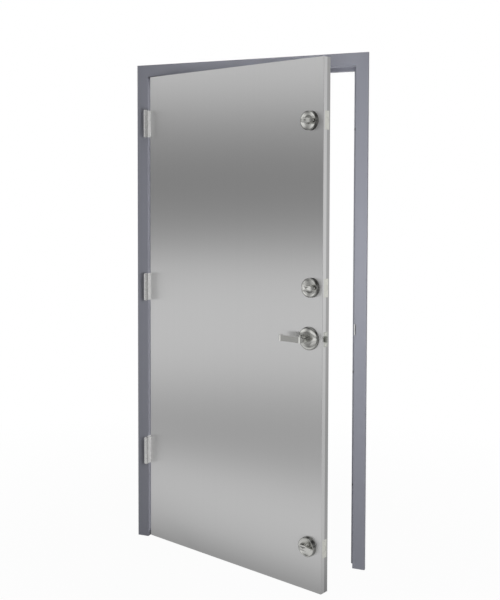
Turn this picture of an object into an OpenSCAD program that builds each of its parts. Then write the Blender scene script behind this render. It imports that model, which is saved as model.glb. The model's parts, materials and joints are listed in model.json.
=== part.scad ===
// Hollow metal door with its pressed steel frame, hinged on the left and opening towards the viewer.
// Millimetres. The floor is z = 0, the frame is centred on x = 0 and y = 0, the pull side faces -y.

/* [Opening] */
// Width of the doorway between the two rabbets
opening_w = 914.4; // [860:0.1:1100]
// Height of the doorway from the floor to the head rabbet
opening_h = 2032; // [1990:0.1:2400]
// Angle at which the leaf stands open
open_angle = 19.9; // [10:0.1:90]

/* [Frame] */
// Width of the frame face around the doorway
face_w = 50.8; // [48:0.1:65]
// Width of the frame face on the push side
back_w = 25.4; // [22:0.1:48]
// Depth of the frame through the wall
jamb_depth = 120.65; // [118:0.05:200]
// Depth of the rabbet on either side of the stop
rabbet = 49.2; // [48.8:0.1:52]
// Height of the stop above the rabbet
stop_h = 15.9; // [15:0.1:20]
// Length of the returns that grip the wall
backbend = 12.7; // [9:0.1:18]
// Thickness of the frame sheet
frame_t = 1.5; // [1.2:0.1:2]
// Inside radius of the folds in the frame sheet
frame_bend = 1.5; // [1:0.1:2]
// Spacing of the two floor bolts in each jamb
anchor_span = 50; // [40:1:60]
// Diameter of the floor bolt holes
anchor_hole = 10.5; // [8:0.1:13]

/* [Leaf] */
// Thickness of the leaf
leaf_t = 44.45; // [44:0.05:45]
// Gap between the leaf and the frame at each side
side_gap = 3.2; // [2.8:0.1:5]
// Gap between the leaf and the frame head
head_gap = 3.2; // [2.5:0.1:6]
// Gap between the leaf and the floor
undercut = 9.5; // [6:0.1:19]
// Thickness of the face sheets
skin_t = 1.2; // [1:0.1:1.5]
// Inside radius of the folds in the face sheets
skin_bend = 1.5; // [1:0.1:1.8]
// Number of upright stiffeners inside the leaf
stiffeners = 5; // [3:1:6]

/* [Hinges] */
// Distance from the head of the doorway down to the top hinge centre
hinge_drop = 205; // [180:1:240]
// Height of the bottom hinge centre above the floor
hinge_foot = 393; // [280:1:420]
// Distance of the middle hinge above the middle of the other two
hinge_lift = 6; // [0:1:30]
// Height of each hinge
hinge_h = 114.3; // [100:0.1:127]
// Thickness of the hinge plates
hinge_t = 3.4; // [3:0.1:4]
// Depth to which the hinge plates are let into the edges
hinge_in = 38.1; // [37:0.1:39]
// Distance of the hinge pin in front of the leaf face
pin_out = 25.4; // [20:0.1:28]
// Diameter of the hinge barrel
barrel_d = 17.2; // [15.5:0.1:18]
// Diameter of the hinge pin
pin_d = 8; // [6.5:0.1:8.5]

/* [Locks] */
// Distance of the lock centres from the latch edge
backset = 60.3; // [59.5:0.1:70]
// Distance of the middle deadbolt's centre from the latch edge
middle_backset = 51.3; // [50:0.1:70]
// Height of the lever above the floor
lever_z = 976; // [930:1:1000]
// Distance from the head of the doorway down to the top deadbolt
bolt_drop = 237; // [200:1:330]
// Distance from the lever up to the middle deadbolt
bolt_rise = 193; // [165:1:270]
// Height of the bottom deadbolt above the floor
bolt_foot = 179; // [165:1:260]
// Diameter of the holes through the faces for the locks
cross_bore = 54; // [50:0.1:56]
// Travel of each deadbolt
bolt_throw = 25.4; // [20:0.1:26]
// Travel of the latch
latch_throw = 12.7; // [11:0.1:14]
// Angle through which the lever is pressed
lever_angle = 45; // [42:1:50]
// Length of the lever from its axis to its tip
lever_l = 104; // [90:1:125]
// Distance of the lever bar in front of the leaf face
lever_out = 62; // [55:1:70]
// Diameter of the lever rose
lever_rose_d = 89; // [80:0.5:94]
// Diameter of the deadbolt rose
bolt_rose_d = 76; // [70:0.5:80]
// Length of the thumbturn blade
turn_l = 58; // [50:1:60]

/* [Hidden] */
$fn = 64;
xj = opening_w / 2;
xo = xj + face_w;
zt = opening_h + face_w;
yf = -jamb_depth / 2;
yb = yf + leaf_t;
ym = (yf + yb) / 2;
ys = yf + rabbet;
xe = xj - side_gap;
z0 = undercut;
z1 = opening_h - head_gap;
pin_x = -xj + side_gap / 2;
pin_y = yf - pin_out;
hinge_top = opening_h - hinge_drop;
hinge_zs = [hinge_top, (hinge_top + hinge_foot) / 2 + hinge_lift, hinge_foot];
bolt_zs = [opening_h - bolt_drop, lever_z + bolt_rise, bolt_foot];
xa = xe - backset;
bolt_ins = [backset, middle_backset, backset];
bolt_xs = [for (d = bolt_ins) xe - d];
fit = 0.15;
run = 0.35;
seam = 0.3;
mitre = 80;
knuckle = hinge_h / 5;
knuckle_gap = 0.2;
backing = 4.8;
backing_h = 230;
backing_w = leaf_t - 2 * (skin_t + skin_bend + 0.3);
anchor_t = 2;
anchor_in = 34;
anchor_half = 40;
anchor_up = 40;
anchor_back = 22;
anchor_lap = 5;
channel_leg = 25;
channel_rise = 20;
stiffener_in = 120;
stiffener_clear = 60;
stiffener_flange = 18;
stiffener_t = 0.9;
screw_d = 4.8;
screw_head_d = 9.2;
screw_head_h = 2.2;
screw_l = 12;
screw_play = 0.08;
plate_t = 2.4;
plate_w = 28.6;
bolt_plate_h = 70;
latch_plate_h = 57.15;
latch_strike_h = 124;
plate_screw_in = 8;
lip_h = 44;
lip_r = 8;
lip_start = 6;
flange_t = 3;
flange_w = 37.6;
flange_over = 14;
box_w = 30;
box_h = 40;
box_deep = 32;
box_t = 1;
lock_plate_t = 4;
lock_plate_over = 16;
bolt_w = 15;
bolt_d = 22.5;
bolt_l = 38;
tube_in = bolt_d + 2 * run;
tube_out = tube_in + 1.6;
cheek_y = bolt_w / 2 + 1.7;
cheek_t = 1.2;
cheek_lo = -14;
cheek_hi = 25;
cheek_back = 25;
bridge_w = 16;
bridge_lap = 5;
spacer_d = 6;
spacer_back = 20;
spacer_down = 8;
hub_d = 12;
journal_d = 10;
journal_out = 11;
crank_pin_d = 4.5;
crank_arm_w = 8;
crank_arm_t = 3;
tail_t = 3;
tail_gap = 0.9;
slot_play = 0.8;
riser_w = 5.5;
riser_lo = hub_d / 2 + 1;
crank_r = bolt_throw / (2 * sin(45));
latch_crank_r = latch_throw / (2 * sin(lever_angle / 2));
tail_w = 6;
tail_bar_t = 2.4;
tail_play = 0.1;
spindle_w = 7;
spindle_out = 30;
latch_l = 32.7;
rose_hole_d = 16;
bolt_rose_h = 15;
lever_rose_h = 13;
rose_wall = 3;
turn_base_d = 24;
turn_base_h = 2;
turn_neck = 6;
turn_blade_w = 20;
turn_blade_h = 19;
turn_edge_h = 5;
turn_blunt = 5;
rose_dish = 3;
lever_neck_d = 24;
lever_bar_w = 24;
lever_bar_t = 11;
lever_bend = 5;
lever_return = 20;
collar_d = 62;
collar_h = 18;
plug_d = 13;
stop_pad_d = 12;
stop_pad_drop = 250;
stop_pad_low = 220;
stop_pad_foot = 330;
stop_pad_in = 6;
stop_pad_zs = [opening_h - stop_pad_drop, opening_h / 2 - stop_pad_low, stop_pad_foot];

paint = "slategray";
steel = "silver";
satin = "lightsteelblue";
plating = "gainsboro";
rubber = "dimgray";

// Folded sheet: an open path of right-angled turns, with the sheet on the left of the path.
function left_of(d) = [-d[1], d[0]];
function unit(v) = v / norm(v);
function crossing(a, b) = a[0] * b[1] - a[1] * b[0];
function headings(p) = [for (i = [0 : len(p) - 2]) unit(p[i + 1] - p[i])];
function bend(p, a, b, inner, r, t, steps = 4) =
  let (
    closing = crossing(a, b) > 0,
    near = closing ? r + t : r,
    far = closing ? r : r + t,
    c = p - a * near + b * near,
    q = inner ? far : near
  )
  [for (i = [0 : steps]) c + q * (a * sin(90 * i / steps) - b * cos(90 * i / steps))];
function sheet_side(p, r, t, inner) =
  let (
    d = headings(p),
    last = len(p) - 1,
    s = inner ? t : 0
  )
  concat(
    [p[0] + s * left_of(d[0])],
    [for (i = [1 : last - 1]) each bend(p[i], d[i - 1], d[i], inner, r, t)],
    [p[last] + s * left_of(d[last - 1])]
  );
function reversed(v) = [for (i = [len(v) - 1 : -1 : 0]) v[i]];
function folded(p, r, t) =
  concat(sheet_side(p, r, t, false), reversed(sheet_side(p, r, t, true)));

// Puts the leaf and all it carries at its open angle.
module swung() {
  translate([pin_x, pin_y, 0])
    rotate([0, 0, -open_angle])
      translate([-pin_x, -pin_y, 0])
        children();
}

// Points the z axis of its children along x, or along the pull side or push side normal.
module towards_x() {
  rotate([0, 90, 0])
    children();
}

module towards_pull() {
  rotate([90, 0, 0])
    children();
}

module towards_push() {
  rotate([-90, 0, 0])
    children();
}

// A block from one corner to the other.
module span(a, b) {
  translate(a)
    cube(b - a);
}

// A flat plate drawn in x and z, of thickness t, centred on y.
module upright(t) {
  translate([0, t / 2, 0])
    rotate([90, 0, 0])
      linear_extrude(height = t)
        children();
}

// Countersunk machine screw with its head at z = 0.
module screw() {
  difference() {
    union() {
      translate([0, 0, -screw_head_h])
        cylinder(d1 = screw_d, d2 = screw_head_d, h = screw_head_h);
      translate([0, 0, -screw_l])
        cylinder(d = screw_d, h = screw_l - screw_head_h);
    }
    for (a = [0, 90])
      rotate([0, 0, a])
        translate([-2.6, -0.5, -1.3])
          cube([5.2, 1, 2]);
  }
}

module screw_hole() {
  translate([0, 0, -screw_head_h])
    cylinder(d1 = screw_d + 2 * screw_play, d2 = screw_head_d + 2 * screw_play, h = screw_head_h);
  translate([0, 0, -screw_l - 1])
    cylinder(d = screw_d + 2 * screw_play, h = screw_l + 1);
  cylinder(d = screw_head_d + 2 * screw_play, h = 1);
}

// The places of the screws, heads facing the open gap.
module at_hinge_screws(x, facing) {
  for (z = hinge_zs)
    for (s = [-1, 1])
      for (p = [[13, 18], [27, 44]])
        translate([x, yf + p[0], z + s * p[1]])
          rotate([0, 90 * facing, 0])
            children();
}

module at_plate_screws(x, facing, h_bolt, h_latch) {
  for (z = bolt_zs)
    for (s = [-1, 1])
      translate([x, ym, z + s * (h_bolt / 2 - plate_screw_in)])
        rotate([0, 90 * facing, 0])
          children();
  for (s = [-1, 1])
    translate([x, ym, lever_z + s * (h_latch / 2 - plate_screw_in)])
      rotate([0, 90 * facing, 0])
        children();
}

// Frame
frame_path = [
  [0, yf + backbend], [0, yf], [face_w, yf], [face_w, ys], [face_w + stop_h, ys],
  [face_w + stop_h, -ys], [face_w, -ys], [face_w, -yf],
  [face_w - back_w, -yf], [face_w - back_w, -yf - backbend]
];

module frame_bar(l) {
  linear_extrude(height = l)
    polygon(folded(frame_path, frame_bend, frame_t));
}

// Everything on one side of the left mitre.
module mitre_cut(above) {
  corner = [-xo - 1, zt + 1];
  low = [-xo + mitre, zt - mitre];
  side = above ? [-xo + mitre, zt + 1] : [-xo - 1, zt - mitre];
  translate([0, -yf + 1, 0])
    rotate([90, 0, 0])
      linear_extrude(height = jamb_depth + 2)
        polygon([corner, low, side]);
}

module hinge_jamb() {
  color(paint)
    difference() {
      translate([-xo, 0, 0])
        frame_bar(zt);
      mitre_cut(true);
      for (z = hinge_zs)
        span(
          [-xj - hinge_t, yf - 1, z - hinge_h / 2 - fit],
          [-xj + 1, yf + hinge_in + fit, z + hinge_h / 2 + fit]
        );
    }
}

module strike_jamb() {
  color(paint)
    difference() {
      mirror([1, 0, 0])
        difference() {
          translate([-xo, 0, 0])
            frame_bar(zt);
          mitre_cut(true);
        }
      for (z = bolt_zs)
        plate_space(xj - 1, xj + frame_t + 0.5, z, bolt_plate_h);
      plate_space(xj - 1, xj + frame_t + 0.5, lever_z, latch_strike_h);
      lip_space();
      for (z = stop_pad_zs)
        translate([xj - stop_h / 2, ys + stop_pad_in / 2, z])
          towards_pull()
            cylinder(d = stop_pad_d / 2 + 2 * fit, h = stop_pad_in);
    }
}

module plate_space(xa0, xa1, z, h) {
  span([xa0, ym - plate_w / 2 - fit, z - h / 2 - fit], [xa1, ym + plate_w / 2 + fit, z + h / 2 + fit]);
}

// Notch in the jamb corner for the curved lip of the latch strike.
module lip_space() {
  span([xj - 1, yf - 2, lever_z - lip_h / 2 - run], [xj + lip_r, ym, lever_z + lip_h / 2 + run]);
}

module frame_head() {
  color(paint)
    difference() {
      translate([-xo, 0, zt])
        towards_x()
          frame_bar(2 * xo);
      mitre_cut(false);
      mirror([1, 0, 0])
        mitre_cut(false);
    }
}

// Angle clip inside the foot of a jamb, with two holes for bolts into the floor.
module floor_anchor() {
  flange_x = -xj + stop_h - frame_t;
  tongue = -ys - frame_t - frame_bend - 0.5;
  difference() {
    union() {
      span([-xo + anchor_back, -anchor_half, 0], [-xj - anchor_lap, anchor_half, anchor_t]);
      span([-xj - anchor_lap - 1, -tongue, 0], [flange_x, tongue, anchor_t]);
      span([flange_x - anchor_t, -tongue, 0], [flange_x, tongue, anchor_up]);
    }
    for (s = [-1, 1])
      translate([-xo + anchor_in, s * anchor_span / 2, -1])
        cylinder(d = anchor_hole, h = anchor_t + 2);
  }
}

module floor_anchors() {
  color(steel) {
    floor_anchor();
    mirror([1, 0, 0])
      floor_anchor();
  }
}

// Thick plates welded behind the rabbet, where the hinges are let in.
module jamb_hinge_plates() {
  x = -xj - frame_t;
  y0 = yf + frame_t + frame_bend + 0.3;
  sunk = hinge_t - frame_t;
  color(steel)
    difference() {
      for (z = hinge_zs)
        span([x - sunk - backing, y0, z - backing_h / 2], [x, yf + hinge_in + 6, z + backing_h / 2]);
      for (z = hinge_zs)
        span(
          [x - sunk, yf, z - hinge_h / 2 - fit],
          [x + 1, yf + hinge_in + fit, z + hinge_h / 2 + fit]
        );
      at_hinge_screws(-xj, 1)
        screw_hole();
    }
}

// Hinges: the plate lies along +y from the pin, on the side of the sign.
module hinge_leaf(side, own, other) {
  near = side_gap / 2;
  x0 = side > 0 ? near : -near - hinge_t;
  difference() {
    union() {
      span([x0, 0, -hinge_h / 2], [x0 + hinge_t, pin_out + hinge_in, hinge_h / 2]);
      for (k = own)
        translate([0, 0, k * knuckle - hinge_h / 2])
          cylinder(d = barrel_d, h = knuckle);
    }
    for (k = other)
      translate([0, 0, k * knuckle - hinge_h / 2 - knuckle_gap])
        cylinder(d = barrel_d + 2 * run, h = knuckle + 2 * knuckle_gap);
    translate([0, 0, -hinge_h])
      cylinder(d = pin_d + 0.15, h = 2 * hinge_h);
  }
}

module hinge_frame_leaf(i) {
  color(plating)
    difference() {
      translate([pin_x, pin_y, hinge_zs[i]])
        hinge_leaf(-1, [0, 2, 4], [1, 3]);
      at_hinge_screws(-xj, 1)
        screw_hole();
    }
}

module hinge_door_leaf(i) {
  color(plating)
    swung()
      difference() {
        translate([pin_x, pin_y, hinge_zs[i]])
          hinge_leaf(1, [1, 3], [0, 2, 4]);
        at_hinge_screws(-xe, -1)
          screw_hole();
      }
}

// Pin with a button at each end.
module hinge_pin(i) {
  button = pin_d * 0.8;
  color(plating)
    translate([pin_x, pin_y, hinge_zs[i]]) {
      translate([0, 0, -hinge_h / 2 - 1])
        cylinder(d = pin_d, h = hinge_h + 2);
      for (s = [0, 1])
        mirror([0, 0, s])
          translate([0, 0, hinge_h / 2])
            rotate_extrude()
              polygon([[0, 0], [button, 0], [button, 1.6], [button * 0.8, 2.8], [0, 3.4]]);
    }
}

// Strikes
module bolt_slot(x, l, z, play) {
  translate([x, ym, z])
    intersection() {
      towards_x()
        cylinder(d = bolt_d + 2 * play, h = l);
      translate([-1, -bolt_w / 2 - play, -bolt_d])
        cube([l + 2, bolt_w + 2 * play, 2 * bolt_d]);
    }
}

module strike_bolt(i) {
  color(satin)
    difference() {
      span(
        [xj, ym - plate_w / 2, bolt_zs[i] - bolt_plate_h / 2],
        [xj + plate_t, ym + plate_w / 2, bolt_zs[i] + bolt_plate_h / 2]
      );
      bolt_slot(xj - 1, plate_t + 2, bolt_zs[i], 1.5);
      at_plate_screws(xj, -1, bolt_plate_h, latch_strike_h)
        screw_hole();
    }
}

module strike_latch() {
  color(satin)
    difference() {
      union() {
        span(
          [xj, ym - plate_w / 2, lever_z - latch_strike_h / 2],
          [xj + plate_t, ym + plate_w / 2, lever_z + latch_strike_h / 2]
        );
        span(
          [xj, yf + lip_start, lever_z - lip_h / 2],
          [xj + plate_t, ym, lever_z + lip_h / 2]
        );
        translate([xj + lip_r, yf + lip_start, lever_z - lip_h / 2])
          rotate([0, 0, 180])
            rotate_extrude(angle = asin(lip_start / lip_r))
              translate([lip_r - plate_t, 0])
                square([plate_t, lip_h]);
      }
      bolt_slot(xj - 1, plate_t + 2, lever_z, 2);
      at_plate_screws(xj, -1, bolt_plate_h, latch_strike_h)
        screw_hole();
    }
}

// Dust boxes behind the strikes, on flanges that also take the screws.
module strike_box(z, h) {
  x0 = xj + frame_t;
  x1 = x0 + flange_t;
  difference() {
    union() {
      span([x0, ym - flange_w / 2, z - h / 2 - flange_over], [x1, ym + flange_w / 2, z + h / 2 + flange_over]);
      span([x1 - 0.5, ym - box_w / 2, z - box_h / 2], [x1 + box_deep, ym + box_w / 2, z + box_h / 2]);
    }
    span(
      [x0 - 1, ym - box_w / 2 + box_t, z - box_h / 2 + box_t],
      [x1 + box_deep - box_t, ym + box_w / 2 - box_t, z + box_h / 2 - box_t]
    );
    plate_space(x0 - 1, xj + plate_t, z, h);
  }
}

module strike_boxes() {
  color(steel)
    difference() {
      union() {
        for (z = bolt_zs)
          strike_box(z, bolt_plate_h);
        strike_box(lever_z, latch_strike_h);
      }
      lip_space_clear();
      at_plate_screws(xj, -1, bolt_plate_h, latch_strike_h)
        screw_hole();
    }
}

module lip_space_clear() {
  span(
    [xj - 1, yf - 2, lever_z - lip_h / 2 - run],
    [xj + lip_r, ym - plate_w / 2 + fit, lever_z + lip_h / 2 + run]
  );
}

// Rubber buttons on the stop, which the closed leaf rests against.
module silencers() {
  color(rubber)
    for (z = stop_pad_zs)
      translate([xj - stop_h / 2, ys, z])
        towards_pull() {
          cylinder(d = stop_pad_d, h = rabbet - leaf_t - run);
          translate([0, 0, -frame_t - 1.5])
            cylinder(d = stop_pad_d / 2, h = frame_t + 2);
        }
}

module frame_screws() {
  color(steel) {
    at_hinge_screws(-xj, 1)
      screw();
    at_plate_screws(xj, -1, bolt_plate_h, latch_strike_h)
      screw();
  }
}

// Leaf
module hinge_mortises() {
  for (z = hinge_zs)
    span(
      [-xe - 1, yf - 1, z - hinge_h / 2 - fit],
      [-xe + hinge_t, yf + hinge_in + fit, z + hinge_h / 2 + fit]
    );
}

module plate_mortises() {
  for (z = bolt_zs)
    plate_space(xe - plate_t, xe + 1, z, bolt_plate_h);
  plate_space(xe - plate_t, xe + 1, lever_z, latch_plate_h);
}

module cross_bores() {
  for (c = concat([for (i = [0 : 2]) [bolt_xs[i], bolt_zs[i]]], [[xa, lever_z]]))
    translate([c[0], yb + 1, c[1]])
      towards_pull()
        cylinder(d = cross_bore, h = leaf_t + 2);
}

module skin(path) {
  color(steel)
    swung()
      difference() {
        translate([0, 0, z0])
          linear_extrude(height = z1 - z0)
            polygon(folded(path, skin_bend, skin_t));
        hinge_mortises();
        plate_mortises();
        cross_bores();
      }
}

module pull_skin() {
  skin([[-xe, ym], [-xe, yf], [xe, yf], [xe, ym]]);
}

module push_skin() {
  skin([[xe, ym + seam], [xe, yb], [-xe, yb], [-xe, ym + seam]]);
}

// Channel between the skins, with its web at the given height and its legs below.
module leaf_channel(web, foot) {
  inset = skin_t + skin_bend + 0.5;
  path = [[yb - skin_t, foot], [yb - skin_t, web], [yf + skin_t, web], [yf + skin_t, foot]];
  color(steel)
    swung()
      translate([-xe + inset, 0, 0])
        rotate([90, 0, 90])
          linear_extrude(height = 2 * (xe - inset))
            polygon(folded(path, skin_bend, frame_t));
}

module top_channel() {
  leaf_channel(z1, z1 - channel_leg);
}

module bottom_channel() {
  leaf_channel(z0 + channel_rise, z0);
}

module core_stiffeners() {
  first = -xe + stiffener_in;
  step = (xa - stiffener_clear - first) / (stiffeners - 1);
  flange = stiffener_flange;
  color(steel)
    swung()
      for (i = [0 : stiffeners - 1])
        translate([first + i * step, 0, z0 + channel_rise])
          linear_extrude(height = z1 - z0 - channel_rise - channel_leg - 1)
            polygon(folded(
              [[flange, yb - skin_t], [0, yb - skin_t], [0, yf + skin_t], [flange, yf + skin_t]],
              skin_bend, stiffener_t
            ));
}

module door_hinge_plates() {
  x = -xe + skin_t;
  sunk = hinge_t - skin_t;
  color(steel)
    swung()
      difference() {
        for (z = hinge_zs)
          span(
            [x, ym - backing_w / 2, z - backing_h / 2],
            [x + sunk + backing, ym + backing_w / 2, z + backing_h / 2]
          );
        hinge_mortises();
        at_hinge_screws(-xe, -1)
          screw_hole();
      }
}

// Plates welded behind the latch edge, which carry the faceplates.
module lock_plates() {
  x = xe - skin_t;
  color(steel)
    swung()
      difference() {
        union() {
          for (z = bolt_zs)
            lock_plate(x, z, bolt_plate_h);
          lock_plate(x, lever_z, latch_plate_h);
        }
        plate_mortises();
        for (z = concat(bolt_zs, [lever_z]))
          translate([x - 2 * lock_plate_t, ym, z])
            towards_x()
              cylinder(d = tube_out + 2 * fit, h = 4 * lock_plate_t);
        at_plate_screws(xe, 1, bolt_plate_h, latch_plate_h)
          screw_hole();
      }
}

module lock_plate(x, z, h) {
  span(
    [x - lock_plate_t, ym - backing_w / 2, z - h / 2 - lock_plate_over],
    [x, ym + backing_w / 2, z + h / 2 + lock_plate_over]
  );
}

module faceplate(z, h) {
  color(plating)
    swung()
      difference() {
        span([xe - plate_t, ym - plate_w / 2, z - h / 2], [xe, ym + plate_w / 2, z + h / 2]);
        bolt_slot(xe - plate_t - 1, plate_t + 2, z, run);
        at_plate_screws(xe, 1, bolt_plate_h, latch_plate_h)
          screw_hole();
      }
}

module faceplate_bolt(i) {
  faceplate(bolt_zs[i], bolt_plate_h);
}

module faceplate_latch() {
  faceplate(lever_z, latch_plate_h);
}

module door_screws() {
  color(steel)
    swung() {
      at_hinge_screws(-xe, -1)
        screw();
      at_plate_screws(xe, 1, bolt_plate_h, latch_plate_h)
        screw();
    }
}

// Lock case: a guide tube behind the faceplate and two cheeks that carry the crank.
module lock_case(inset, z, tube_end) {
  color(steel)
    swung()
      translate([xe - inset, ym, z])
        difference() {
          union() {
            translate([tube_end, 0, 0])
              towards_x()
                cylinder(d = tube_out, h = inset - plate_t - tube_end);
            for (s = [-1, 1])
              translate([0, s * (cheek_y + cheek_t / 2), 0])
                upright(cheek_t) {
                  translate([-cheek_back, cheek_lo])
                    square([cheek_back + tube_end, cheek_hi - cheek_lo]);
                  translate([0, -bridge_w / 2])
                    square([tube_end + bridge_lap, bridge_w]);
                }
            translate([-spacer_back, cheek_y + cheek_t, -spacer_down])
              towards_pull()
                cylinder(d = spacer_d, h = 2 * (cheek_y + cheek_t));
          }
          translate([tube_end - 1, 0, 0])
            intersection() {
              towards_x()
                cylinder(d = tube_in, h = inset);
              translate([0, -cheek_y, -tube_in])
                cube([inset, 2 * cheek_y, 2 * tube_in]);
            }
          translate([0, leaf_t / 2, 0])
            towards_pull()
              cylinder(d = journal_d + 2 * run, h = leaf_t);
        }
}

module bolt_case(i) {
  lock_case(bolt_ins[i], bolt_zs[i], riser_lo + riser_w + bolt_throw + 1);
}

module latch_case() {
  lock_case(backset, lever_z, riser_lo + riser_w + latch_throw + 1);
}

// Bolt tail: a plate with a step over the crank hub and an upright slot for the crank pin.
module bolt_tail(head_x, riser_x, slot_x, slot_lo, slot_hi) {
  slot_w = crank_pin_d + 2 * slot_play;
  arm_lo = slot_lo - 1.6;
  arm_hi = slot_hi + 2.4;
  upright(tail_t)
    difference() {
      union() {
        translate([riser_x, -6])
          square([head_x - riser_x + 1, 12]);
        translate([riser_x, -6])
          square([riser_w, arm_hi + 6]);
        translate([slot_x - slot_w / 2 - 3, arm_lo])
          square([riser_x + riser_w - slot_x + slot_w / 2 + 3, arm_hi - arm_lo]);
      }
      translate([slot_x - slot_w / 2, slot_lo])
        square([slot_w, slot_hi - slot_lo]);
    }
}

module deadbolt(i) {
  tip = bolt_ins[i] - run;
  color(satin)
    swung()
      translate([bolt_xs[i], ym, bolt_zs[i]]) {
        intersection() {
          translate([tip - bolt_l, 0, 0])
            towards_x()
              cylinder(d = bolt_d, h = bolt_l);
          span([0, -bolt_w / 2, -bolt_d], [tip + 1, bolt_w / 2, bolt_d]);
        }
        bolt_tail(
          tip - bolt_l, riser_lo, -bolt_throw / 2,
          crank_r * sin(45) - crank_pin_d / 2 - 0.5, crank_r + crank_pin_d / 2 + 0.5
        );
      }
}

// Spring latch, bevelled on the side that meets the strike first.
module latch_bolt() {
  tip = backset + latch_throw;
  rest_x = latch_throw / 2;
  color(satin)
    swung()
      translate([xa, ym, lever_z]) {
        difference() {
          intersection() {
            translate([tip - latch_l, 0, 0])
              towards_x()
                cylinder(d = bolt_d, h = latch_l);
            span([0, -bolt_w / 2, -bolt_d], [tip, bolt_w / 2, bolt_d]);
          }
          translate([0, 0, -bolt_d])
            linear_extrude(height = 2 * bolt_d)
              polygon([
                [tip, 1.5 - bolt_w / 2], [backset + 1, bolt_w / 2],
                [backset + 1, bolt_w], [tip + 1, bolt_w], [tip + 1, 1.5 - bolt_w / 2]
              ]);
        }
        bolt_tail(
          tip - latch_l, riser_lo + latch_throw, rest_x,
          latch_crank_r * cos(lever_angle / 2) - crank_pin_d / 2 - 0.5,
          latch_crank_r + crank_pin_d / 2 + 0.5
        );
      }
}

// Crank: hub between the cheeks, arm beside the bolt tail, pin through its slot.
module crank(r, angle) {
  inner = cheek_y - run;
  arm_y = tail_t / 2 + tail_gap;
  translate([0, inner, 0])
    towards_pull()
      cylinder(d = hub_d, h = 2 * inner);
  translate([0, journal_out, 0])
    towards_pull()
      cylinder(d = journal_d, h = 2 * journal_out);
  rotate([0, -angle, 0]) {
    span([0, arm_y, -crank_arm_w / 2], [r, arm_y + crank_arm_t, crank_arm_w / 2]);
    translate([r, arm_y + crank_arm_t, 0])
      towards_pull()
        cylinder(d = crank_arm_w, h = crank_arm_t);
    translate([r, arm_y + crank_arm_t, 0])
      towards_pull()
        cylinder(d = crank_pin_d, h = arm_y + crank_arm_t + tail_t / 2 + 1);
  }
}

module bolt_crank(i) {
  w = tail_w + 2 * tail_play;
  t = tail_bar_t + 2 * tail_play;
  color(plating)
    swung()
      translate([bolt_xs[i], ym, bolt_zs[i]])
        difference() {
          crank(crank_r, 135);
          span([-w / 2, -2 * journal_out, -t / 2], [w / 2, 2 * journal_out, t / 2]);
        }
}

// Square spindle with its crank, turned by both levers.
module lever_spindle() {
  reach = leaf_t / 2 + spindle_out;
  color(plating)
    swung()
      translate([xa, ym, lever_z]) {
        crank(latch_crank_r, 90 - lever_angle / 2);
        span([-spindle_w / 2, -reach, -spindle_w / 2], [spindle_w / 2, reach, spindle_w / 2]);
      }
}

// Roses
module bolt_rose(i) {
  r = bolt_rose_d / 2;
  h = bolt_rose_h;
  color(satin)
    swung()
      translate([bolt_xs[i], yf, bolt_zs[i]])
        towards_pull()
          rotate_extrude()
            polygon([
              [rose_hole_d / 2, h - rose_dish], [turn_base_d / 2 + 2, h - rose_dish],
              [r * 0.55, h - rose_dish * 0.83], [r * 0.72, h - rose_dish * 0.5], [r - 5.5, h - 0.4],
              [r - 4.5, h], [r - 3, h], [r - 1.5, h - 1.5], [r, 0],
              [r - rose_wall, 0], [r - rose_wall - 2, h - rose_dish - 3], [rose_hole_d / 2, h - rose_dish - 3]
            ]);
}

function dome(r0, r1, h0, h1, n = 10) =
  [for (i = [0 : n]) [r1 + (r0 - r1) * cos(90 * i / n), h0 + (h1 - h0) * sin(90 * i / n)]];

module lever_rose() {
  r = lever_rose_d / 2;
  hole = lever_neck_d / 2 + run;
  rotate_extrude()
    polygon(concat(
      [[r - rose_wall, 0], [r, 0]],
      dome(r, 15, 3, lever_rose_h),
      [[hole, lever_rose_h], [hole, lever_rose_h - rose_wall]],
      reversed(dome(r - rose_wall, 15, 1, lever_rose_h - rose_wall))
    ));
}

module lever_rose_pull() {
  color(satin)
    swung()
      translate([xa, yf, lever_z])
        towards_pull()
          lever_rose();
}

module lever_rose_push() {
  color(satin)
    swung()
      translate([xa, yb, lever_z])
        towards_push()
          lever_rose();
}

// Lever: a round neck and a flat bar that turns back towards the door at its tip.
module lever() {
  tip = -lever_l;
  heel = lever_neck_d / 2;
  difference() {
    union() {
      translate([0, -lever_rose_h + rose_wall, 0])
        towards_pull()
          cylinder(d = lever_neck_d, h = lever_out - lever_rose_h - 1);
      intersection() {
        translate([0, 0, -lever_bar_w / 2])
          linear_extrude(height = lever_bar_w)
            polygon(folded(
              [
                [tip, lever_return - lever_out], [tip, -lever_out],
                [heel, -lever_out], [heel, lever_return - lever_out]
              ],
              lever_bend, lever_bar_t
            ));
        translate([0, -lever_out / 2, 0])
          upright(2 * lever_out)
            lever_outline(tip, heel);
      }
    }
    socket = spindle_w + 2 * tail_play;
    span([-socket / 2, -spindle_out - 2, -socket / 2], [socket / 2, 0, socket / 2]);
  }
}

module lever_outline(tip, heel) {
  w = lever_bar_w / 2;
  polygon([
    [tip, 2 - w], [tip + 2, -w], [tip + 14, -w], [tip + 40, 1 - w], [-20, 1 - w], [0, -w],
    [heel * 0.7, -w * 0.7], [heel, 0], [heel * 0.7, w * 0.7],
    [0, w], [-20, w - 1], [tip + 40, w - 1], [tip + 14, w], [tip + 2, w], [tip, w - 2]
  ]);
}

module lever_pull() {
  color(satin)
    swung()
      translate([xa, yf, lever_z])
        lever();
}

module lever_push() {
  color(satin)
    swung()
      translate([xa, yb, lever_z])
        mirror([0, 1, 0])
          lever();
}

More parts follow.
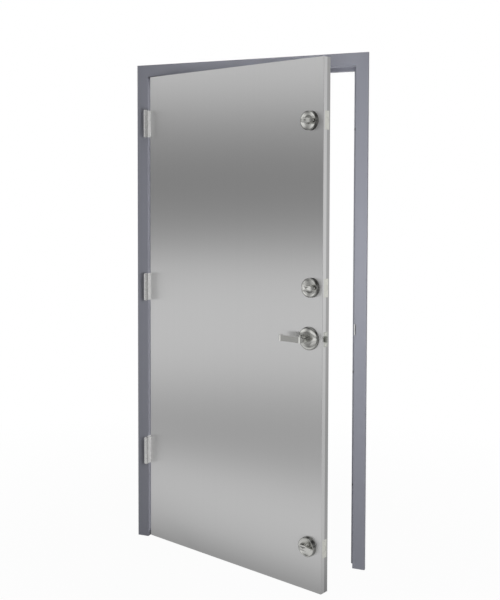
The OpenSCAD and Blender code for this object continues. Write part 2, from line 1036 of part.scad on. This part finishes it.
// Thumbturn: collar in the rose, almond-shaped blade outside, flat tailpiece through the crank.
module thumbturn(i) {
  base = bolt_rose_h - rose_dish + run;
  blade = bolt_rose_h + run + 1;
  half = turn_l / 2 + turn_blunt;
  bow = (half * half + turn_blade_w * turn_blade_w / 4) / turn_blade_w;
  crown = (half * half + turn_blade_h * turn_blade_h) / (2 * turn_blade_h);
  drop = turn_blade_h - turn_edge_h;
  round = (turn_blade_w * turn_blade_w / 4 + drop * drop) / (2 * drop);
  color(satin)
    swung()
      translate([bolt_xs[i], yf, bolt_zs[i]])
        towards_pull() {
          translate([0, 0, base])
            cylinder(d1 = turn_base_d, d2 = turn_base_d - 4, h = blade - base + turn_base_h);
          translate([0, 0, bolt_rose_h - rose_dish - turn_neck])
            cylinder(d = rose_hole_d - 2 * run, h = turn_neck + 1);
          translate([-tail_w / 2, -tail_bar_t / 2, -leaf_t / 2 - journal_out])
            cube([tail_w, tail_bar_t, leaf_t / 2 + journal_out + bolt_rose_h]);
          translate([0, 0, blade])
            intersection() {
              translate([0, bow - turn_blade_w / 2, 0])
                cylinder(r = bow, h = turn_blade_h);
              translate([0, turn_blade_w / 2 - bow, 0])
                cylinder(r = bow, h = turn_blade_h);
              translate([0, turn_blade_w, turn_blade_h - crown])
                rotate([90, 0, 0])
                  cylinder(r = crown, h = 2 * turn_blade_w);
              translate([-turn_l, 0, turn_blade_h - round])
                towards_x()
                  cylinder(r = round, h = 2 * turn_l);
              span([-turn_l / 2, -turn_blade_w, 0], [turn_l / 2, turn_blade_w, 2 * turn_blade_h]);
            }
        }
}

// Key cylinder on the push side.
module cylinder_collar(i) {
  r = collar_d / 2;
  color(satin)
    swung()
      translate([bolt_xs[i], yb, bolt_zs[i]])
        towards_push()
          rotate_extrude()
            polygon([
              [plug_d / 2 + fit, 0], [r, 0], [r - 2, collar_h * 0.55], [r - 7, collar_h - 1],
              [r - 9, collar_h], [r - 13, collar_h], [plug_d / 2 + fit, collar_h - 1.5]
            ]);
}

module cylinder_plugs() {
  color(plating)
    swung()
      for (i = [0 : 2])
        translate([bolt_xs[i], yb, bolt_zs[i]])
          towards_push()
            difference() {
              cylinder(d = plug_d, h = collar_h - 1);
              translate([-1, -4.5, collar_h - 9])
                cube([2, 9, 10]);
            }
}

hinge_jamb();
strike_jamb();
frame_head();
floor_anchors();
jamb_hinge_plates();
hinge_frame_leaf(0);  // hinge_frame_leaf_top
hinge_frame_leaf(1);  // hinge_frame_leaf_middle
hinge_frame_leaf(2);  // hinge_frame_leaf_bottom
hinge_pin(0);  // hinge_pin_top
hinge_pin(1);  // hinge_pin_middle
hinge_pin(2);  // hinge_pin_bottom
strike_latch();
strike_bolt(0);  // strike_bolt_top
strike_bolt(1);  // strike_bolt_middle
strike_bolt(2);  // strike_bolt_bottom
strike_boxes();
silencers();
frame_screws();
pull_skin();
push_skin();
top_channel();
bottom_channel();
core_stiffeners();
door_hinge_plates();
hinge_door_leaf(0);  // hinge_door_leaf_top
hinge_door_leaf(1);  // hinge_door_leaf_middle
hinge_door_leaf(2);  // hinge_door_leaf_bottom
lock_plates();
faceplate_latch();
faceplate_bolt(0);  // faceplate_bolt_top
faceplate_bolt(1);  // faceplate_bolt_middle
faceplate_bolt(2);  // faceplate_bolt_bottom
door_screws();
latch_case();
bolt_case(0);  // bolt_case_top
bolt_case(1);  // bolt_case_middle
bolt_case(2);  // bolt_case_bottom
lever_rose_pull();
lever_rose_push();
bolt_rose(0);  // bolt_rose_top
bolt_rose(1);  // bolt_rose_middle
bolt_rose(2);  // bolt_rose_bottom
cylinder_collar(0);  // cylinder_top
cylinder_collar(1);  // cylinder_middle
cylinder_collar(2);  // cylinder_bottom
cylinder_plugs();
lever_pull();
lever_push();
lever_spindle();
latch_bolt();
thumbturn(0);  // thumbturn_top
thumbturn(1);  // thumbturn_middle
thumbturn(2);  // thumbturn_bottom
bolt_crank(0);  // bolt_crank_top
bolt_crank(1);  // bolt_crank_middle
bolt_crank(2);  // bolt_crank_bottom
deadbolt(0);  // deadbolt_top
deadbolt(1);  // deadbolt_middle
deadbolt(2);  // deadbolt_bottom
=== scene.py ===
"""Looks of the hollow metal door and its frame: materials, studio and camera."""
import json
import math

import bpy
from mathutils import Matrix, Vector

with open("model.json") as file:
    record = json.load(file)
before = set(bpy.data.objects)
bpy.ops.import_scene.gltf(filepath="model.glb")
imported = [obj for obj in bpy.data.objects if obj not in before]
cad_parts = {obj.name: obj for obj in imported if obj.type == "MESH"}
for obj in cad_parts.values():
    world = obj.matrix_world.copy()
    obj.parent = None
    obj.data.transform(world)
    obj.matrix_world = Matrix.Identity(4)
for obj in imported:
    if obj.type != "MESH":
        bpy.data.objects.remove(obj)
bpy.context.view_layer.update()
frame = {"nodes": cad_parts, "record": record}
nodes = frame["nodes"]
joints = {joint["name"]: joint for joint in frame["record"]["behaviour"]["joints"]}

# Base colours of the finishes, linear
PAINT = (0.252, 0.258, 0.298)
STAINLESS = (0.70, 0.70, 0.70)
HINGE = (0.92, 0.92, 0.91)
BOLT = (0.68, 0.68, 0.63)
NICKEL = (0.66, 0.66, 0.635)
GALVANISED = (0.48, 0.49, 0.50)
LATCH = (0.52, 0.53, 0.50)
SCREW = (0.76, 0.76, 0.72)
RUBBER = (0.055, 0.056, 0.058)

# Scale of the scratches, and of the hinges' clouds, along x, y and z, per metre
LEAF_GRAIN = (1400.0, 1400.0, 6.0)
HINGE_GRAIN = (900.0, 900.0, 30.0)
HINGE_CLOUD = (54.0, 54.0, 2.0)
BOLT_GRAIN = (900.0, 900.0, 40.0)
NICKEL_GRAIN = (500.0, 500.0, 500.0)
LATCH_GRAIN = (500.0, 500.0, 40.0)
SCREW_GRAIN = (700.0, 700.0, 700.0)
# Share of that scale for the wider streaks
STREAK_SCALE = 0.06
# How far the scratches move the roughness, and their depth in metres
ROUGH_CHANGE = 0.005
SCRATCH_DEPTH = 0.0002
# Part of the noise's range that is used
NOISE_LOW, NOISE_HIGH = 0.3, 0.7

# Painted shade on the face sheet's folded edge: its tone, blended by how far the surface faces +x
EDGE_PAINTED_SHADE = 0.64
EDGE_START, EDGE_FULL = 0.6, 0.9
# Painted shade on a rose's rim: its tone, and where it starts and is full, inwards from the rose's
# radius
RIM_PAINTED_SHADE = 0.5
RIM_START, RIM_FULL = 0.005, 0.003
BOLT_ROSE_R = 0.038
LEVER_ROSE_R = 0.0445
# Hinge barrel and plates: distance from the pin's axis at which one turns into the other
BARREL_R, PLATE_R = 0.0087, 0.0092
# The barrel's tone is painted shade; the plates keep theirs
BARREL_PAINTED_SHADE, PLATE_TONE = 0.78, 1.0
BARREL_METAL, PLATE_METAL = 0.90, 0.35


class Graph:
    """Short calls for the nodes of a material or the world."""

    def __init__(self, tree):
        self.tree = tree

    def add(self, kind, **settings):
        node = self.tree.nodes.new(kind)
        for key, value in settings.items():
            setattr(node, key, value)
        return node

    def link(self, source, target):
        self.tree.links.new(source, target)

    def feed(self, socket, value):
        """Links the socket to another node's output, or sets it to a plain value."""
        if isinstance(value, bpy.types.NodeSocket):
            self.link(value, socket)
        else:
            socket.default_value = value

    def maths(self, operation, *values):
        node = self.add("ShaderNodeMath", operation=operation)
        for socket, value in zip(node.inputs, values):
            self.feed(socket, value)
        return node.outputs["Value"]

    def vector(self, operation, *values, output="Vector"):
        node = self.add("ShaderNodeVectorMath", operation=operation)
        for socket, value in zip(node.inputs, values):
            self.feed(socket, value)
        return node.outputs[output]

    def ranged(self, source, start, end, low=0.0, high=1.0, easing="LINEAR"):
        """Low up to start, high from end on, and between them as the source rises."""
        node = self.add("ShaderNodeMapRange", interpolation_type=easing)
        sockets = ("Value", "From Min", "From Max", "To Min", "To Max")
        for key, value in zip(sockets, (source, start, end, low, high)):
            self.feed(node.inputs[key], value)
        return node.outputs["Result"]

    def curve(self, source, levels):
        """Smooth curve through the levels, given as (place, level) in rising order."""
        low, high = levels[0][0], levels[-1][0]
        node = self.add("ShaderNodeValToRGB")
        band = node.color_ramp
        band.interpolation = "CARDINAL"
        while len(band.elements) < len(levels):
            band.elements.new(0.5)
        for element, (place, level) in zip(band.elements, levels):
            element.position = (place - low) / (high - low)
            element.color = (level, level, level, 1)
        self.link(self.ranged(source, low, high), node.inputs["Fac"])
        return node.outputs["Color"]

    def colours(self, share, first, second, blend="MIX"):
        node = self.add("ShaderNodeMix", data_type="RGBA", blend_type=blend)
        for key, value in (("Factor", share), ("A", first), ("B", second)):
            self.feed(node.inputs[key], value)
        return node.outputs["Result"]

    def shaders(self, share, first, second):
        node = self.add("ShaderNodeMixShader")
        for socket, value in zip(node.inputs, (share, first, second)):
            self.link(value, socket)
        return node.outputs["Shader"]


class Finish(Graph):
    """A material with one principled shader, laid out in the space of the part."""

    def __init__(self, name):
        self.mat = bpy.data.materials.new(name)
        self.mat.use_nodes = True
        super().__init__(self.mat.node_tree)
        self.inputs = self.tree.nodes["Principled BSDF"].inputs
        self.source = self.add("ShaderNodeTexCoord").outputs
        self.coords = self.source["Object"]

    def put(self, socket, value):
        self.feed(self.inputs[socket], value)

    def noise(self, scale, detail=2.0, rough=0.5):
        mapping = self.add("ShaderNodeMapping")
        mapping.inputs["Scale"].default_value = scale
        self.link(self.coords, mapping.inputs["Vector"])
        node = self.add("ShaderNodeTexNoise")
        node.inputs["Scale"].default_value = 1.0
        node.inputs["Detail"].default_value = detail
        node.inputs["Roughness"].default_value = rough
        self.link(mapping.outputs["Vector"], node.inputs["Vector"])
        return node.outputs["Fac"]

    def varied(self, source, low, high):
        """A number from low to high, by the noise in the source."""
        return self.ranged(source, NOISE_LOW, NOISE_HIGH, low, high)

    def tinted(self, source, colour, low, high):
        """Base colour, made darker and lighter by the noise in the source."""
        node = self.add("ShaderNodeValToRGB")
        ends = zip(node.color_ramp.elements, (NOISE_LOW, NOISE_HIGH), (low, high))
        for element, place, factor in ends:
            element.position = place
            element.color = tuple(min(1.0, c * factor) for c in colour) + (1.0,)
        self.link(source, node.inputs["Fac"])
        self.put("Base Color", node.outputs["Color"])

    def shaded(self, factor):
        """Multiplies the base colour, which is linked already, by the factor."""
        before = self.inputs["Base Color"].links[0].from_socket
        self.put("Base Color", self.colours(1.0, before, factor, "MULTIPLY"))

    def off_axis(self, joint):
        """Distance from the joint's axis."""
        start = self.vector("SUBTRACT", self.coords, joints[joint]["pos_m"])
        across = self.vector("CROSS_PRODUCT", start, joints[joint]["axis"])
        return self.vector("LENGTH", across, output="Value")

    def bumped(self, source, strength, depth):
        node = self.add("ShaderNodeBump")
        node.inputs["Strength"].default_value = strength
        node.inputs["Distance"].default_value = depth
        self.link(source, node.inputs["Height"])
        self.put("Normal", node.outputs["Normal"])


def painted_steel(name):
    s = Finish(name)
    s.tinted(s.noise((3.0, 3.0, 1.5), detail=3.0), PAINT, low=0.97, high=1.03)
    s.put("Roughness", s.varied(s.noise((60.0, 60.0, 60.0)), low=0.38, high=0.46))
    s.put("Specular IOR Level", 0.5)
    s.bumped(s.noise((420.0, 420.0, 420.0), detail=1.0), strength=0.06, depth=0.0004)
    return s.mat


def brushed_metal(name, colour, rough, grain, streak, bump, brushed=0.0, edge=1.0, rim=None):
    """Metal with fine scratches and wider streaks along the grain.

    brushed spreads reflections around the z axis, edge is a painted shade on faces towards +x, and
    a rim, given as a joint and a radius around its axis, is darkened by painted shade.
    """
    s = Finish(name)
    s.put("Metallic", 1.0)
    if brushed:
        s.put("Anisotropic", brushed)
        around = s.add("ShaderNodeTangent", direction_type="RADIAL", axis="Z")
        s.put("Tangent", around.outputs["Tangent"])
    scratches = s.noise(grain, detail=3.0, rough=0.6)
    streaks = s.noise(tuple(g * STREAK_SCALE for g in grain))
    s.tinted(streaks, colour, low=1.0 - streak, high=1.0 + streak)
    # Painted shade: faces towards +x are darkened
    if edge < 1.0:
        facing = s.add("ShaderNodeSeparateXYZ")
        s.link(s.source["Normal"], facing.inputs["Vector"])
        s.shaded(s.ranged(facing.outputs["X"], EDGE_START, EDGE_FULL, 1.0, edge))
    # Painted shade: the rose's rim is darkened
    if rim:
        joint, radius = rim
        start, full = radius - RIM_START, radius - RIM_FULL
        s.shaded(s.ranged(s.off_axis(joint), start, full, 1.0, RIM_PAINTED_SHADE))
    s.put("Roughness", s.varied(scratches, rough - ROUGH_CHANGE, rough + ROUGH_CHANGE))
    s.bumped(scratches, bump, SCRATCH_DEPTH)
    return s.mat


def hinge_metal(name):
    """Bright plates, and a more metallic barrel around the hinge pins, darkened by painted shade.
    """
    s = Finish(name)
    scratches = s.noise(HINGE_GRAIN, detail=3.0, rough=0.6)
    s.tinted(s.noise(HINGE_CLOUD), HINGE, low=0.98, high=1.02)
    away = s.off_axis("leaf_swing")
    # Painted shade: the barrel is darker than the plates
    s.shaded(s.ranged(away, BARREL_R, PLATE_R, BARREL_PAINTED_SHADE, PLATE_TONE))
    s.put("Metallic", s.ranged(away, BARREL_R, PLATE_R, BARREL_METAL, PLATE_METAL))
    s.put("Roughness", s.varied(scratches, low=0.22, high=0.30))
    s.bumped(scratches, strength=0.06, depth=SCRATCH_DEPTH)
    return s.mat


def galvanised_steel(name):
    s = Finish(name)
    s.put("Metallic", 1.0)
    cells = s.add("ShaderNodeTexVoronoi")
    cells.inputs["Scale"].default_value = 90.0
    s.link(s.coords, cells.inputs["Vector"])
    value = s.add("ShaderNodeSeparateColor")
    s.link(cells.outputs["Color"], value.inputs["Color"])
    s.tinted(value.outputs["Red"], GALVANISED, low=0.85, high=1.1)
    s.put("Roughness", s.varied(value.outputs["Green"], low=0.38, high=0.55))
    return s.mat


def grey_rubber(name):
    s = Finish(name)
    s.tinted(s.noise((300.0, 300.0, 300.0)), RUBBER, low=0.9, high=1.1)
    s.put("Roughness", 0.75)
    s.bumped(s.noise((900.0, 900.0, 900.0)), strength=0.1, depth=0.0003)
    return s.mat


# Finishes by the record's slot, and those that differ from it by node
LEAF_SHEET = dict(
    colour=STAINLESS, rough=0.28, grain=LEAF_GRAIN, streak=0.004, bump=0.01, brushed=1.0,
)
LOCK_METAL = dict(colour=NICKEL, rough=0.14, grain=NICKEL_GRAIN, streak=0.03, bump=0.05)
FINISH = {
    "frame_paint": painted_steel("frame_paint"),
    "leaf_stainless": brushed_metal("leaf_stainless", **LEAF_SHEET),
    # The push sheet's folded edge carries painted shade
    "push_stainless_painted_edge_shade": brushed_metal("push_stainless_painted_edge_shade", edge=EDGE_PAINTED_SHADE, **LEAF_SHEET),
    "inner_steel": galvanised_steel("inner_steel"),
    "hinge_steel": hinge_metal("hinge_steel"),
    "bolt_steel": brushed_metal(
        "bolt_steel", colour=BOLT, rough=0.30, grain=BOLT_GRAIN, streak=0.02, bump=0.06,
    ),
    "lock_nickel": brushed_metal("lock_nickel", **LOCK_METAL),
    "latch_steel": brushed_metal(
        "latch_steel", colour=LATCH, rough=0.34, grain=LATCH_GRAIN, streak=0.04, bump=0.06,
    ),
    "screw_steel": brushed_metal(
        "screw_steel", colour=SCREW, rough=0.28, grain=SCREW_GRAIN, streak=0.03, bump=0.05,
    ),
    "silencer_rubber": grey_rubber("silencer_rubber"),
}
OWN_FINISH = {
    "push_skin": "push_stainless_painted_edge_shade",
    "faceplate_latch": "latch_steel",
    "latch_bolt": "latch_steel",
    "strike_latch": "hinge_steel",
    "strike_bolt_top": "hinge_steel",
    "strike_bolt_middle": "hinge_steel",
    "strike_bolt_bottom": "hinge_steel",
}
ROSES = {
    "bolt_rose_top": ("thumbturn_top", BOLT_ROSE_R),
    "bolt_rose_middle": ("thumbturn_middle", BOLT_ROSE_R),
    "bolt_rose_bottom": ("thumbturn_bottom", BOLT_ROSE_R),
    "lever_rose_pull": ("lever_turn", LEVER_ROSE_R),
    "lever_rose_push": ("lever_turn", LEVER_ROSE_R),
}
# Each rose carries a painted shade on its rim
for rose, rim in ROSES.items():
    FINISH[rose] = brushed_metal(rose, rim=rim, **LOCK_METAL)
    OWN_FINISH[rose] = rose

for sub in frame["record"]["subparts"]:
    mesh = nodes[sub["node"]].data
    mesh.materials.clear()
    mesh.materials.append(FINISH[OWN_FINISH.get(sub["node"], sub["material_slot"])])

# Floor: half its side, its diffuse tone, and its whiteness to the camera from near to far
FLOOR_HALF = 30.0
FLOOR_TONE = (0.35, 0.35, 0.35, 1)
WHITE_NEAR, WHITE_FAR = 0.8, 2.5
WHITENESS_NEAR, WHITENESS_FAR = 0.97, 1.0
# Floor that metal sees, a painted glow shown only in reflections: brightness by the distance from
# the open leaf, darker close to it as painted shade, and where it fades out
PAINTED_FLOOR_GLOW = [(0.0, 0.44), (0.08, 0.50), (0.25, 0.66), (0.55, 0.75), (0.9, 0.72), (1.4, 0.65)]
FADE_START, FADE_END = 0.9, 1.4
# Normal of the open leaf's pull face, and the face's distance from the origin along it
LEAF_OPEN = math.radians(-joints["leaf_swing"]["range_deg"][0])
LEAF_NORMAL = (-math.sin(LEAF_OPEN), -math.cos(LEAF_OPEN), 0.0)
LEAF_OFFSET = max(v.co.dot(Vector(LEAF_NORMAL)) for v in nodes["pull_skin"].data.vertices)

# Brightness that metal sees in the studio, by the height of the ray, on the left and on the right
LEFT_STRIPS = [
    (-1.0, 0.40), (-0.80, 0.16), (-0.62, 0.20), (-0.50, 0.42), (-0.391, 0.50), (-0.366, 0.74),
    (-0.331, 0.79), (-0.294, 0.71), (-0.245, 0.51), (-0.196, 0.89), (-0.155, 1.14),
    (-0.112, 1.46), (-0.087, 1.17), (-0.059, 0.61), (-0.005, 0.35), (0.050, 0.40),
    (0.093, 0.67), (0.130, 1.01), (0.21, 1.04), (0.34, 0.75), (0.52, 0.30), (0.70, 0.22),
    (0.84, 1.10), (1.0, 1.40),
]
RIGHT_STRIPS = [
    (-1.0, 0.40), (-0.80, 0.16), (-0.62, 0.20), (-0.40, 0.58), (-0.12, 0.90), (0.0, 1.02),
    (0.12, 0.80), (0.34, 0.72), (0.52, 0.30), (0.70, 0.22), (0.84, 1.10), (1.0, 1.40),
]
RIGHT_START, RIGHT_FULL = 0.5, 0.8
# Factor on it by the turn of the ray in degrees, from the right (0) towards the back (90)
AROUND = [
    (-180, 1.10), (-166, 1.30), (-156, 0.86), (-146, 0.43), (-138, 0.62), (-128, 1.40),
    (-110, 1.45), (-94, 0.90), (-80, 0.42), (-64, 0.32), (-50, 0.38), (-36, 0.60), (-22, 0.85),
    (-8, 0.95), (40, 0.95), (60, 1.0), (85, 1.15), (110, 1.30), (140, 1.20), (160, 1.0),
    (180, 1.10),
]
# Light of the room on paint, and the background that the camera sees
ROOM = (0.17, 0.17, 0.17, 1)
WHITE = (1, 1, 1, 1)

# Lamps: place, aim, width, height, watts and spread in degrees
LAMPS = {
    "front_lamp": ((0.7, -3.6, 1.75), (0.0, 0.0, 1.2), 1.2, 0.5, 12.0, 180.0),
    "right_lamp": ((2.0, -2.5, 1.3), (0.0, 0.0, 1.2), 0.8, 0.8, 38.0, 180.0),
    "back_lamp": ((-1.2, 3.6, 1.75), (0.0, 0.0, 1.2), 1.2, 0.5, 80.0, 180.0),
    "jamb_lamp": ((0.50, -1.1, 1.2), (0.44, 0.0, 1.2), 0.26, 0.5, 6.2, 180.0),
    "head_lamp": ((0.05, -0.55, 2.35), (0.05, -0.06, 2.06), 0.6, 0.1, 0.58, 90.0),
    "soffit_lamp": ((0.25, -0.01, 0.4), (0.38, -0.01, 2.03), 0.3, 0.05, 0.30, 25.0),
    "gap_lamp": ((-0.4475, -0.045, 1.02), (-0.457, -0.045, 1.02), 0.01, 2.0, 0.10, 180.0),
}

# Camera: millimetres, metres, and degrees below the level and to the left of straight ahead
LENS = 55.081
SENSOR = 36.0
SHIFT_X, SHIFT_Y = 0.1, -0.11
FAR_CLIP = 200.0
CAMERA_PLACE = (1.26869, -3.70340, 1.51620)
CAMERA_DOWN = 2.4172
CAMERA_LEFT = 22.7270


def make_floor():
    mesh = bpy.data.meshes.new("floor")
    h = FLOOR_HALF
    mesh.from_pydata([(-h, -h, 0), (h, -h, 0), (h, h, 0), (-h, h, 0)], [], [(0, 1, 2, 3)])
    floor = bpy.data.objects.new("floor", mesh)
    bpy.context.scene.collection.objects.link(floor)
    mat = bpy.data.materials.new("floor_white_painted_glow")
    mat.use_nodes = True
    mat.node_tree.nodes.clear()
    g = Graph(mat.node_tree)
    path = g.add("ShaderNodeLightPath").outputs
    place = g.add("ShaderNodeNewGeometry").outputs["Position"]

    pale = g.add("ShaderNodeBsdfDiffuse")
    pale.inputs["Color"].default_value = FLOOR_TONE
    white = g.add("ShaderNodeEmission")
    far = g.vector("LENGTH", place, output="Value")
    whiteness = g.ranged(far, WHITE_NEAR, WHITE_FAR, WHITENESS_NEAR, WHITENESS_FAR)
    seen = g.maths("MULTIPLY", path["Is Camera Ray"], whiteness)
    direct = g.shaders(seen, pale.outputs["BSDF"], white.outputs["Emission"])

    height = g.vector("DOT_PRODUCT", place, LEAF_NORMAL, output="Value")
    off = g.maths("ABSOLUTE", g.maths("SUBTRACT", height, LEAF_OFFSET))
    # Painted glow for metal only, darker near the open leaf as painted shade
    glow = g.add("ShaderNodeEmission")
    g.link(g.curve(off, PAINTED_FLOOR_GLOW), glow.inputs["Color"])
    clear = g.add("ShaderNodeBsdfTransparent")
    fade = g.ranged(off, FADE_START, FADE_END)
    reflected = g.shaders(fade, glow.outputs["Emission"], clear.outputs["BSDF"])

    out = g.add("ShaderNodeOutputMaterial")
    g.link(g.shaders(path["Is Glossy Ray"], direct, reflected), out.inputs["Surface"])
    mesh.materials.append(mat)


def make_world():
    world = bpy.data.worlds.new("studio")
    bpy.context.scene.world = world
    world.use_nodes = True
    world.node_tree.nodes.clear()
    g = Graph(world.node_tree)
    split = g.add("ShaderNodeSeparateXYZ")
    g.link(g.add("ShaderNodeTexCoord").outputs["Generated"], split.inputs["Vector"])
    x, y, z = (split.outputs[axis] for axis in "XYZ")

    turn = g.maths("DEGREES", g.maths("ARCTAN2", y, x))
    side = g.ranged(x, RIGHT_START, RIGHT_FULL, easing="SMOOTHSTEP")
    strips = g.colours(side, g.curve(z, LEFT_STRIPS), g.curve(z, RIGHT_STRIPS))
    studio = g.colours(1.0, strips, g.curve(turn, AROUND), "MULTIPLY")

    path = g.add("ShaderNodeLightPath").outputs
    lit = g.colours(path["Is Glossy Ray"], ROOM, studio)
    seen = g.colours(path["Is Camera Ray"], lit, WHITE)
    back = g.add("ShaderNodeBackground")
    g.link(seen, back.inputs["Color"])
    out = g.add("ShaderNodeOutputWorld")
    g.link(back.outputs["Background"], out.inputs["Surface"])


def soft_lamp(name, place, aim, wide, tall, power, spread):
    """Area lamp that neither the camera nor metal sees."""
    lamp = bpy.data.lights.new(name, "AREA")
    lamp.shape = "RECTANGLE"
    lamp.size = wide
    lamp.size_y = tall
    lamp.energy = power
    lamp.spread = math.radians(spread)
    obj = bpy.data.objects.new(name, lamp)
    obj.location = place
    turn = (obj.location - Vector(aim)).to_track_quat("Z", "Y")
    obj.rotation_euler = turn.to_euler()
    obj.visible_camera = False
    obj.visible_glossy = False
    bpy.context.scene.collection.objects.link(obj)


def make_camera():
    cam = bpy.data.cameras.new("camera")
    cam.lens = LENS
    cam.sensor_width = SENSOR
    cam.shift_x = SHIFT_X
    cam.shift_y = SHIFT_Y
    cam.clip_end = FAR_CLIP
    obj = bpy.data.objects.new("camera", cam)
    obj.location = CAMERA_PLACE
    tilt, turn = math.radians(90.0 - CAMERA_DOWN), math.radians(CAMERA_LEFT)
    obj.rotation_euler = (tilt, 0.0, turn)
    bpy.context.scene.collection.objects.link(obj)
    bpy.context.scene.camera = obj


make_floor()
make_world()
for lamp_name, settings in LAMPS.items():
    soft_lamp(lamp_name, *settings)
make_camera()
bpy.context.scene.view_settings.view_transform = "Standard"
